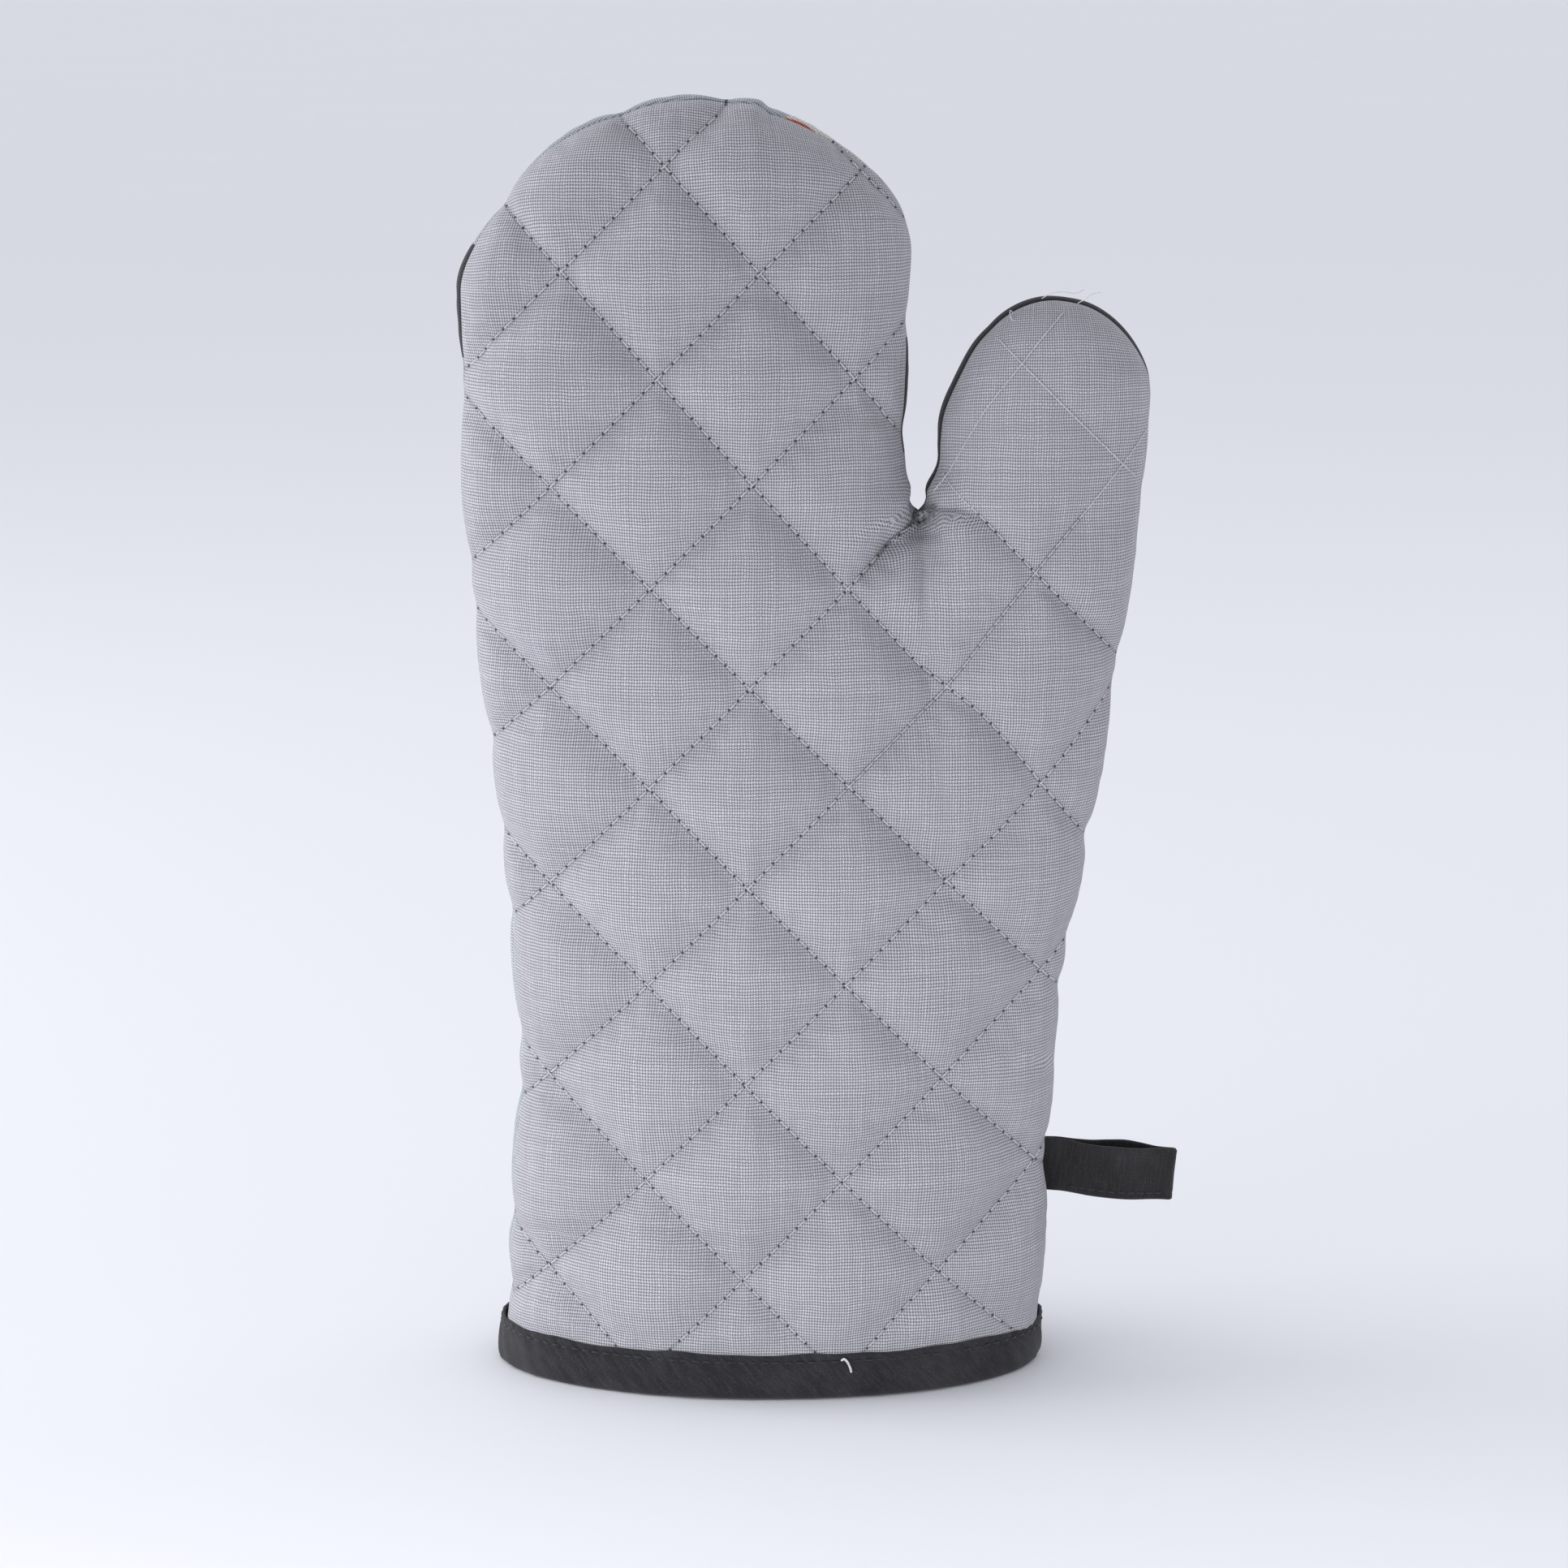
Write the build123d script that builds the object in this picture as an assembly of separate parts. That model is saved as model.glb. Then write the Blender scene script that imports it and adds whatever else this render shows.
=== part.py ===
from build123d import *
import math
import os

# Quilted oven mitt, standing on its open cuff. Millimetres.
# X runs across the hand to the thumb, Y from the palm side (-Y) to the back of the hand (+Y), Z up.
# The origin is the centre of the cuff opening, on the surface that the cuff binding stands on.
# Palm and back are each a sandwich of outer cloth, wadding and lining, quilted together in diagonal
# rows, and sewn to each other along one seam in the plane Y = 0. A bias binding closes the raw edge
# of the cuff. A folded cloth strip on the thumb side is the hanging loop, and it bends where it leaves
# the seam.

# Hand: height, left edge, right edge and half of the depth at each of its stations
mitt_height = 330.0
cuff_left = -70.0
cuff_right = 72.0
cuff_half_depth = 35.5
wrist_height = 85.0
crotch_height = 229.0
crotch_x = 39.0
finger_left = -77.5
finger_right = 37.0
finger_half_depth = 17.5
fingertip_rise = 48.0
hand_stations = [
    (0, cuff_left, cuff_right, cuff_half_depth),
    (30, cuff_left + 3, cuff_right + 1.5, cuff_half_depth - 1.5),
    (wrist_height, cuff_left + 6.5, cuff_right + 3, 30.0),
    (150, -68.0, 66.0, 26.0),
    (200, -73.5, 50.0, 23.5),
    (crotch_height, -76.0, crotch_x, 21.5),
    (mitt_height - fingertip_rise, finger_left, finger_right, finger_half_depth),
]

# Thumb: the same, from its root inside the hand upwards
thumb_height = 281.0
thumb_left = 43.0
thumb_right = 98.2
thumb_half_depth = 14.0
thumb_tip_rise = 29.0
thumb_root_height = 50.0
thumb_stations = [
    (thumb_root_height, 22.0, 70.0, 20.0),
    (126, 22.0, 81.5, 20.0),
    (190, 30.0, 92.0, 18.0),
    (crotch_height, crotch_x, thumb_right - 2.2, 15.5),
    (thumb_height - thumb_tip_rise, thumb_left, thumb_right, thumb_half_depth),
]

# Layers of the quilted sandwich, with the air between them
cloth_thickness = 0.8
wadding_thickness = 4.0
lining_thickness = 0.6
layer_gap = 0.2
seam_gap = 0.3

# Quilting: square diamonds standing on their corners
rising_row_spacing = 35.6
falling_row_spacing = 36.6
row_angle = 45.0
first_crossing_x = -5.6
first_crossing_height = 31.2
row_end_margin = 2.5
shortest_row = 20.0
thread_width = 0.5
thread_thickness = 0.3
thread_gap = 0.3
bobbin_gap = 0.6

# Thread of the side seam, lying between palm and back inside the mitt. The wadding is trimmed back
# from the seam to make room for it.
seam_thread_depth = 2.6
seam_thread_gap = 0.2

# Bias binding round the cuff
binding_height = 12.0
binding_thickness = 1.2
binding_gap = 0.2
binding_stitch_drop = 1.6

# Hanging loop, a strip folded in two and standing open a little
loop_length = 31.0
loop_width = 14.0
loop_height = 45.5
loop_strip_thickness = 1.2
loop_eye = 5.8
loop_droop = 5.0
loop_gap = 0.9
loop_stitch_inset = 1.9

# How the shapes are drawn: points round a section, height between sections, steps along a path of thread
# and how far its straight lengths may leave it, steps of a rounded tip in degrees, and the length by which
# the open end runs on below the floor before it is cut
oval_points = 12
section_spacing = 22.0
path_step = 1.2
path_tolerance = 0.04
tip_steps = [20, 40, 58, 74]
skirt = 20.0
beyond = 60.0

# Depths of the surfaces between the layers, measured from the outside of the mitt
wadding_depth = cloth_thickness + layer_gap
lining_depth = wadding_depth + wadding_thickness + layer_gap
sandwich = lining_depth + lining_thickness
layers_foot = binding_thickness + binding_gap
cutting_size = 2 * (mitt_height + beyond)


def smooth(stations, column, height):
    """One column of the stations at a height between them, on a smooth curve."""
    heights = [station[0] for station in stations]
    values = [station[column] for station in stations]
    last = len(stations) - 1
    slopes = []
    for index in range(last + 1):
        low = max(index - 1, 0)
        high = min(index + 1, last)
        slopes.append((values[high] - values[low]) / (heights[high] - heights[low]))
    index = 0
    while index < last - 1 and height > heights[index + 1]:
        index += 1
    span = heights[index + 1] - heights[index]
    part = (height - heights[index]) / span
    rest = 1 - part
    start = rest * rest * ((1 + 2 * part) * values[index] + part * span * slopes[index])
    end = part * part * ((3 - 2 * part) * values[index + 1] - rest * span * slopes[index + 1])
    return start + end


def oval(height, left, right, half_depth, inset, share=1.0):
    """A level oval, taken in by the inset all round and then shrunk to a share of its size."""
    half_width = ((right - left) / 2 - inset) * share
    half_depth = (half_depth - inset) * share
    points = []
    for number in range(oval_points):
        turn = 2 * math.pi * number / oval_points
        x = (left + right) / 2 + half_width * math.cos(turn)
        points.append(Vector(x, half_depth * math.sin(turn), height))
    even = [number / oval_points for number in range(oval_points + 1)]
    return make_face(Wire([Edge.make_spline(points, periodic=True, parameters=even)]))


def stall(stations, bottom, top, inset):
    """A closed round-tipped body through the stations."""
    base_height, left, right, half_depth = stations[-1]
    count = max(3, round((base_height - bottom) / section_spacing))
    sections = []
    for number in range(count + 1):
        height = bottom + (base_height - bottom) * number / count
        inside_table = max(height, stations[0][0])
        edges = [smooth(stations, column, inside_table) for column in (1, 2, 3)]
        sections.append(oval(height, *edges, inset))
    rise = top - inset - base_height
    for step in tip_steps:
        lift = rise * math.sin(math.radians(step))
        share = math.cos(math.radians(step))
        sections.append(oval(base_height + lift, left, right, half_depth, inset, share))
    sections.append(Vertex((left + right) / 2, 0, top - inset))
    return loft(sections)


def mitt_body(depth):
    """Everything inside the surface that lies a depth within the outside of the mitt."""
    hand = stall(hand_stations, -skirt, mitt_height, depth)
    thumb = stall(thumb_stations, thumb_root_height, thumb_height, depth)
    return hand + thumb


def skin(depth, thickness):
    """A shell of the mitt's shape between two depths."""
    return mitt_body(depth) - mitt_body(depth + thickness)


def level_slab(low, high):
    """A level slab across the whole mitt."""
    align = (Align.CENTER, Align.CENTER, Align.MIN)
    return Pos(0, 0, low) * Box(cutting_size, cutting_size, high - low, align=align)


def side_block(side, margin):
    """The space on the palm side (-1) or the back (+1), a margin off the seam plane."""
    middle = side * (cutting_size / 2 + margin)
    return Pos(0, middle, 0) * Box(cutting_size, cutting_size, 2 * cutting_size)


def outlines(body, plane):
    """The closed outlines that a plane cuts from a body."""
    cut = body & Face.make_rect(cutting_size, cutting_size, plane)
    return [face.outer_wire() for face in cut.faces()]


def thinned(points):
    """The fewest of the points that still follow the path."""
    chord = points[-1] - points[0]
    direction = chord.normalized()
    worst = 0
    farthest = 0
    for index in range(1, len(points) - 1):
        offset = points[index] - points[0]
        distance = (offset - direction * offset.dot(direction)).length
        if distance > worst:
            worst = distance
            farthest = index
    if worst < path_tolerance:
        return [points[0], points[-1]]
    return thinned(points[: farthest + 1])[:-1] + thinned(points[farthest:])


def moved(points, normal, distance):
    """A path moved sideways in its own plane."""
    steps = [(end - start).normalized() for start, end in zip(points, points[1:])]
    steps = [steps[0]] + steps + [steps[-1]]
    result = []
    for point, before, after in zip(points, steps, steps[1:]):
        along = before + after
        mitre = min(2 / max(along.length, 0.1), 1.5)
        result.append(point + normal.cross(along.normalized()) * distance * mitre)
    return result


def thread_along(points, normal, near, far):
    """A flat thread whose two faces lie at two distances beside a path."""
    points = thinned(points)
    edge = moved(points, normal, near) + list(reversed(moved(points, normal, far)))
    face = make_face(Wire.make_polygon(edge, close=True))
    return extrude(face, thread_width / 2, dir=normal, both=True)


def quilting_paths(body, across, spacing, side):
    """Where the rows of one direction run over one side of a body."""
    low = binding_height + row_end_margin
    count = math.ceil(mitt_height / spacing)
    paths = []
    for number in range(-count, count + 1):
        start = Vector(first_crossing_x, 0, first_crossing_height) + across * (number * spacing)
        for outline in outlines(body, Plane(origin=start, x_dir=(0, 1, 0), z_dir=across)):
            points = []
            for edge in outline.edges():
                steps = math.ceil(edge.length / path_step)
                points += [edge.position_at(step / steps) for step in range(1, steps)]
            run = [point for point in points if side * point.Y > row_end_margin and point.Z > low]
            run.sort(key=lambda point: point.X)
            if len(run) > 2 and (run[-1] - run[0]).length > shortest_row:
                paths.append(run)
    return paths


def write(solids, name):
    """One STEP file for each named piece of the mitt."""
    export_step(Compound(children=list(solids)), f"parts/{name}.step")


def write_panels():
    """Outer cloth, wadding and lining of the palm and of the back."""
    trimmed = thread_width / 2 + seam_thread_gap
    layers = {
        "outer_cloth": (skin(0, cloth_thickness), seam_gap / 2),
        "wadding": (skin(wadding_depth, wadding_thickness), trimmed),
        "lining": (skin(lining_depth, lining_thickness), seam_gap / 2),
    }
    above = level_slab(layers_foot, mitt_height + beyond)
    for side_name, side in {"palm": -1, "back": 1}.items():
        for layer_name, (layer, margin) in layers.items():
            panel = layer & above & side_block(side, margin)
            write(panel.solids(), f"{side_name}_{layer_name}")


def write_seam_thread():
    """The thread that sews palm and back together, up one side of the mitt and down the other."""
    outline = outlines(mitt_body(seam_thread_depth), Plane.XZ)[0]
    count = math.ceil(outline.length / path_step)
    points = [outline.position_at(number / count) for number in range(count)]
    lowest = min(range(count), key=lambda index: points[index].Z)
    points = points[lowest:] + points[:lowest]
    run = [point for point in points if point.Z > layers_foot]
    thread = thread_along(run, Vector(0, 1, 0), 0, thread_thickness)
    write([thread], "side_seam_thread")


def write_quilting():
    """Needle thread on the cloth and bobbin thread on the lining, the falling rows over the rising."""
    surfaces = {
        "quilting": (mitt_body(0), 1, thread_gap),
        "bobbin": (mitt_body(sandwich), -1, bobbin_gap),
    }
    for thread_name, (body, outward, gap) in surfaces.items():
        for direction_name, direction in {"rising": 1, "falling": -1}.items():
            slope = math.radians(direction * row_angle)
            across = Vector(-math.sin(slope), 0, math.cos(slope))
            near = gap if direction == 1 else gap + thread_thickness + thread_gap
            far = near + thread_thickness
            spacing = rising_row_spacing if direction == 1 else falling_row_spacing
            for side_name, side in {"palm": -1, "back": 1}.items():
                away = side * outward
                paths = quilting_paths(body, across, spacing, side)
                rows = [thread_along(path, across, away * near, away * far) for path in paths]
                write(rows, f"{side_name}_{thread_name}_{direction_name}")


def write_binding():
    """A strip folded over the raw edge of all the layers, and the two rows that hold it."""
    folded = mitt_body(-binding_gap - binding_thickness) - mitt_body(sandwich + layers_foot)
    folded = folded & level_slab(0, binding_height)
    pocket = skin(-binding_gap, sandwich + 2 * binding_gap)
    pocket = pocket & level_slab(binding_thickness, binding_height + beyond)
    write((folded - pocket).solids(), "cuff_binding")
    outer = skin(-layers_foot - thread_gap - thread_thickness, thread_thickness)
    inner = skin(sandwich + layers_foot + thread_gap, thread_thickness)
    top = binding_height - binding_stitch_drop
    band = level_slab(top - thread_width, top)
    write((outer & band).solids() + (inner & band).solids(), "binding_stitching")


def lens(root, belly, end, start_x, end_x):
    """The outline of a folded strip seen from above: half its width at the root, middle and end."""
    middle_x = (start_x + end_x) / 2
    upper = ThreePointArc((start_x, root), (middle_x, belly), (end_x, end))
    lower = ThreePointArc((end_x, -end), (middle_x, -belly), (start_x, -root))
    right = Line((end_x, end), (end_x, -end))
    left = Line((start_x, -root), (start_x, root))
    return make_face(Wire([upper, right, lower, left]))


def loop_outline(grow):
    """The hanging loop seen from above in its own frame, the hinge line at its origin."""
    root = loop_strip_thickness + grow
    belly = loop_eye / 2 + loop_strip_thickness + grow
    return lens(root, belly, root, 0, loop_length + grow) + Circle(root)


def write_loop():
    """The hanging loop, and the row of stitching along its lower edge."""
    loop_middle = loop_height + loop_width / 2
    seam_x = smooth(hand_stations, 2, loop_middle)
    hinge_x = seam_x + loop_gap + loop_strip_thickness
    place = Pos(hinge_x, 0, loop_height) * Rot(0, loop_droop, 0)
    eye_start = 3 * loop_strip_thickness
    eye_end = loop_length - loop_strip_thickness
    eye = lens(0.3, loop_eye / 2, 0.3, eye_start, eye_end)
    strip = extrude(loop_outline(0) - eye, loop_width)
    write((place * strip).solids(), "hanging_loop")
    row = loop_outline(thread_gap + thread_thickness) - loop_outline(thread_gap)
    row = Pos(0, 0, loop_stitch_inset) * extrude(row, thread_width)
    align = (Align.MIN, Align.CENTER, Align.CENTER)
    clear_of_seam = Pos(eye_start, 0, 0) * Box(loop_length + beyond, beyond, beyond, align=align)
    write((place * (row & clear_of_seam)).solids(), "loop_edge_stitching")


os.makedirs("parts", exist_ok=True)
write_panels()
write_seam_thread()
write_quilting()
write_binding()
write_loop()
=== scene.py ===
import bpy
import bmesh
import math
import numpy as np
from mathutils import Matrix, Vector
from mathutils.geometry import delaunay_2d_cdt
from mathutils.bvhtree import BVHTree
from mathutils.interpolate import poly_3d_calc
from mathutils.kdtree import KDTree


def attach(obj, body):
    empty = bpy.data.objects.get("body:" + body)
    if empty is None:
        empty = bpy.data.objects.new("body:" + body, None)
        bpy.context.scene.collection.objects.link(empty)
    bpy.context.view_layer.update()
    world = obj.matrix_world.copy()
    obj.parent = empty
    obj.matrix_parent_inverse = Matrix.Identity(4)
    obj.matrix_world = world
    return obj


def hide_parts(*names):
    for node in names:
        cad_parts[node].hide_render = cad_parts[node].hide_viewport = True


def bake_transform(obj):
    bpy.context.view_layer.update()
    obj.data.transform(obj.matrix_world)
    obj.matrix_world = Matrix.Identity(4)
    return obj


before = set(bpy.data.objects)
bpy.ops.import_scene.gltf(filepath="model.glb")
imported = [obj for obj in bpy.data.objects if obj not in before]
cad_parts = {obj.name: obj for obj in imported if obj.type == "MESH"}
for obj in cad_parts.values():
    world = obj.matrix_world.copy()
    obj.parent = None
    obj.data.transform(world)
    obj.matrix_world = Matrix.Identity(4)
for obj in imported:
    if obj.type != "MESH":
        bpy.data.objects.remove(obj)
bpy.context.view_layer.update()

mm = 0.001
for other in bpy.context.selected_objects:
    other.select_set(False)

# The mitt's form in mm, the same as the frame's: height, left edge, right edge, half depth
mitt = dict(
    hand=[(0, -70.0, 72.0, 35.5), (30, -67.0, 73.5, 34.0), (85, -63.5, 75.0, 30.0), (150, -68.0, 66.0, 26.0),
          (200, -73.5, 50.0, 23.5), (229, -75.8, 38.6, 21.5), (235, -75.9, 36.7, 21.2),
          (282, -76.2, 37.5, 17.5)],
    handTop=330.0,
    handLean=4.8,             # how far the fingertips lean to the thumb
    thumb=[(50, 22.0, 70.0, 20.0), (126, 22.0, 81.5, 20.0), (190, 30.0, 92.0, 18.0), (229, 39.4, 96.5, 15.5),
           (236, 42.4, 97.3, 15.0), (247, 44.0, 98.4, 14.0)],
    thumbTop=281.4,
    thumbLean=2.4,
    foot=1.4,                 # where the layers stand in the binding
    webFill=0.6,              # how far the cloth spans the hollow between hand and thumb
)

# What a user would change on the quilted panels, in mm
quilt = dict(
    risingSpacing=35.6,
    risingOffset=26.0,
    fallingSpacing=36.6,
    fallingOffset=18.1,
    stepsPerCell=20,          # grid steps from one row to the next
    edgeStep=1.8,
    stitch=3.3,
    valley=1.5,               # how deep the rows lie
    puff=2.9,                 # how far the cells stand out before the cloth swells
    pinch=1.2,                # how deep the side seam lies
    slack=0.03,               # spare cloth between the rows
    pressure=22.0,
    frames=16,
    cap=6.0,                  # the furthest that the cloth may swell
    bindingTop=11.0,
)

# The folds that run from between finger and thumb, and one low on the palm, in mm; dark is how strong the
# painted shade line in each fold is
folds = [
    dict(path=[(39.2, 227.5), (37.8, 224.7), (35.6, 222.7), (32.9, 221.1), (30.2, 218.4), (28.0, 215.8),
               (24.0, 211.4)],
         deep=4.6, wide=2.0, dark=0.95),
    dict(path=[(39.6, 227.5), (42.2, 227.7), (48.6, 228.2), (52.5, 227.0), (60.4, 222.1)],
         deep=2.4, wide=2.0, dark=0.55),
    dict(path=[(41.0, 225.0), (43.4, 211.0)], deep=1.4, wide=3.4, dark=0.0),
    dict(path=[(36.0, 52.0), (52.0, 48.0), (64.0, 48.5)], deep=0.9, wide=3.2, dark=0.0),
]


def smoothStep(x, low, high):
    t = np.clip((np.asarray(x, float) - low) / (high - low), 0, 1)
    return t * t * (3 - 2 * t)


def alongStations(stations, column, heights):
    # one column of the stations as a smooth curve over the height
    z = np.array([s[0] for s in stations], float)
    v = np.array([s[column] for s in stations], float)
    slope = np.empty(len(z))
    slope[1:-1] = (v[2:] - v[:-2]) / (z[2:] - z[:-2])
    slope[0] = (v[1] - v[0]) / (z[1] - z[0])
    slope[-1] = (v[-1] - v[-2]) / (z[-1] - z[-2])
    h = np.clip(heights, z[0], z[-1])
    i = np.clip(np.searchsorted(z, h, side="right") - 1, 0, len(z) - 2)
    span = z[i + 1] - z[i]
    t = (h - z[i]) / span
    r = 1 - t
    start = r * r * ((1 + 2 * t) * v[i] + t * span * slope[i])
    return start + t * t * ((3 - 2 * t) * v[i + 1] - r * span * slope[i + 1])


def ovalAt(stall, z, inset=0.0):
    # middle, half width and half depth of the hand's or thumb's oval at each height
    stations, top = mitt[stall], mitt[stall + "Top"] - inset
    left, right, deep = (alongStations(stations, c, z) for c in (1, 2, 3))
    base = stations[-1][0]
    lift = np.clip((z - base) / (top - base), 0, 1)
    share = np.sqrt(1 - lift ** 2)
    inside = (z <= top) & (z >= stations[0][0] - 1)
    share = np.where(inside, share, 0)
    lean = mitt[stall + "Lean"] * smoothStep(lift, 0.0, 0.5)
    return (left + right) / 2 + lean, ((right - left) / 2 - inset) * share, (deep - inset) * share


def webGrid():
    # how much the cloth fills the hollow between hand and thumb, on a grid of 1 mm
    across, up = np.arange(-80.0, 101.0), np.arange(40.0, 236.0)
    x, z = np.meshgrid(across, up)
    deep = depthAt(x, z, 0.0, False)
    fill = np.zeros(deep.shape)
    for row in range(len(up)):
        hull = []
        for i in range(len(across)):
            while len(hull) > 1:
                a, b = hull[-2], hull[-1]
                if (deep[row, b] - deep[row, a]) * (i - a) > (deep[row, i] - deep[row, a]) * (b - a):
                    break
                hull.pop()
            hull.append(i)
        over = np.interp(np.arange(len(across)), hull, deep[row, hull])
        fill[row] = np.where(deep[row] > 0, np.maximum(over - deep[row], 0), 0)
    fill *= mitt["webFill"] * smoothStep(231 - z, 0, 40)
    kernel = np.hanning(13) / np.hanning(13).sum()
    for axis in (0, 1):
        fill = np.apply_along_axis(lambda line: np.convolve(line, kernel, "same"), axis, fill)
    return fill


def depthAt(x, z, inset=0.0, web=True):
    # how far the surface lies from the seam plane
    x, z = np.asarray(x, float), np.asarray(z, float)
    deepest = np.zeros(x.shape)
    for stall in ("hand", "thumb"):
        middle, wide, deep = ovalAt(stall, z, inset)
        u = np.clip(np.abs(x - middle) / np.maximum(wide, 1e-6), 0, 1)
        deepest = np.maximum(deepest, deep * np.sqrt(1 - u * u) * (wide > 0))
    if web:
        column, row = np.clip(x + 80, 0, 179.99), np.clip(z - 40, 0, 194.99)
        i, j = row.astype(int), column.astype(int)
        r, c = row - i, column - j
        low = webFill[i, j] * (1 - c) + webFill[i, j + 1] * c
        high = webFill[i + 1, j] * (1 - c) + webFill[i + 1, j + 1] * c
        deepest = deepest + (low * (1 - r) + high * r) * (deepest > 0.5)
    return deepest


webFill = webGrid()


def runAlong(points):
    # the length from the first point to each of the others
    return np.concatenate([[0], np.cumsum(np.linalg.norm(np.diff(points, axis=0), axis=1))])


def unit(vectors):
    return vectors / np.linalg.norm(vectors, axis=1)[:, None]


def evenly(points, step):
    # the same line with even steps, its two ends kept
    points = np.array(points, float)
    run = runAlong(points)
    count = max(2, int(round(run[-1] / step)))
    at = np.linspace(0, run[-1], count + 1)
    return np.stack([np.interp(at, run, points[:, i]) for i in (0, 1)], axis=1)


def seamLine(step):
    # the seam from the foot on the little-finger side, over the fingertips, round the thumb and down again
    low, tall = mitt["foot"], np.linspace(0, 300, 3001)
    handRight = sum(ovalAt("hand", tall)[0:2])
    thumbMiddle, thumbWide, _ = ovalAt("thumb", tall)
    meets = np.where((tall > 60) & (handRight > thumbMiddle - thumbWide) & (tall < 280))[0]
    crotch = tall[meets].max()
    merges = tall[(tall > 60) & (tall < 200) & (thumbMiddle + thumbWide > handRight)].min()

    def side(stall, start, end, way):
        heights = np.linspace(start, end, 200)
        middle, wide, _ = ovalAt(stall, heights)
        return list(zip(middle + way * wide, heights))

    def tip(stall):
        base, top = mitt[stall][-1][0], mitt[stall + "Top"]
        middle, wide, _ = ovalAt(stall, np.array([float(base)]))
        turns = np.linspace(math.pi, 0, 160)
        lean = mitt[stall + "Lean"] * smoothStep(np.sin(turns), 0.0, 0.5)
        return list(zip(middle[0] + lean + wide[0] * np.cos(turns), base + (top - base) * np.sin(turns)))

    handBase, thumbBase = mitt["hand"][-1][0], mitt["thumb"][-1][0]
    first = side("hand", low, handBase, -1) + tip("hand") + side("hand", handBase, crotch, 1)
    second = side("thumb", crotch, thumbBase, -1) + tip("thumb") + side("thumb", thumbBase, merges, 1)
    second += side("hand", merges, low, 1)
    first, second = evenly(first, step), evenly(second, step)
    return np.concatenate([first, second[1:]])


def quiltCoords(x, z):
    # distance along the two directions of the quilting; the thumb's cloth lies turned a little
    falling, rising = (x + z) / math.sqrt(2), (z - x) / math.sqrt(2)
    onThumb = smoothStep(x, 38, 58) * smoothStep(z, 130, 190)
    fingers = smoothStep(falling, 140, 170) * (1 - onThumb)
    turned = rising - onThumb * 0.115 * (falling - 158)
    bent = falling + onThumb * 0.07 * (falling - 170) - fingers * 0.05 * (rising - 165)
    a = (bent - quilt["fallingOffset"]) / quilt["fallingSpacing"]
    b = (turned - quilt["risingOffset"]) / quilt["risingSpacing"]
    return a, b


def fromQuiltCoords(a, b):
    # the place of a point of the quilting grid, found by a few corrections
    falling = quilt["fallingOffset"] + a * quilt["fallingSpacing"]
    rising = quilt["risingOffset"] + b * quilt["risingSpacing"]
    x, z = (falling - rising) / math.sqrt(2), (falling + rising) / math.sqrt(2)
    for _ in range(12):
        gotA, gotB = quiltCoords(x, z)
        da = (a - gotA) * quilt["fallingSpacing"]
        db = (b - gotB) * quilt["risingSpacing"]
        x, z = x + (da - db) / math.sqrt(2), z + (da + db) / math.sqrt(2)
    return x, z


def inwardNormals(line):
    # unit normals of the seam line that point into the cloth
    ahead = np.roll(line, -1, axis=0) - line
    ahead[-1] = ahead[-2]
    behind = line - np.roll(line, 1, axis=0)
    behind[0] = behind[1]
    along = unit(ahead) + unit(behind)
    return unit(np.stack([along[:, 1], -along[:, 0]], axis=1))


def seamShift(line):
    # how far the seam has rolled towards the palm side, all along it
    x, z = line[:, 0], line[:, 1]
    thumbPart = smoothStep(x, 36, 42) * smoothStep(z, 229, 242)
    thumbPart *= 1 - smoothStep(x, 82, 90) * (1 - smoothStep(z, 252, 270))
    little = (x < -40) * (smoothStep(z, 252, 264) - smoothStep(z, 292, 304))
    low = (x < -40) * (smoothStep(z, 10, 30) - smoothStep(z, 125, 155))
    finger = (x > 20) * (x < 40) * (z > 233) * (smoothStep(z, 236, 246) - smoothStep(z, 264, 276))
    top = smoothStep(z, 312, 322) * smoothStep(x, -66, -52)
    return 1.25 * thumbPart + 2.0 * little + 3.4 * low + 1.5 * finger + 2.0 * top


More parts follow.
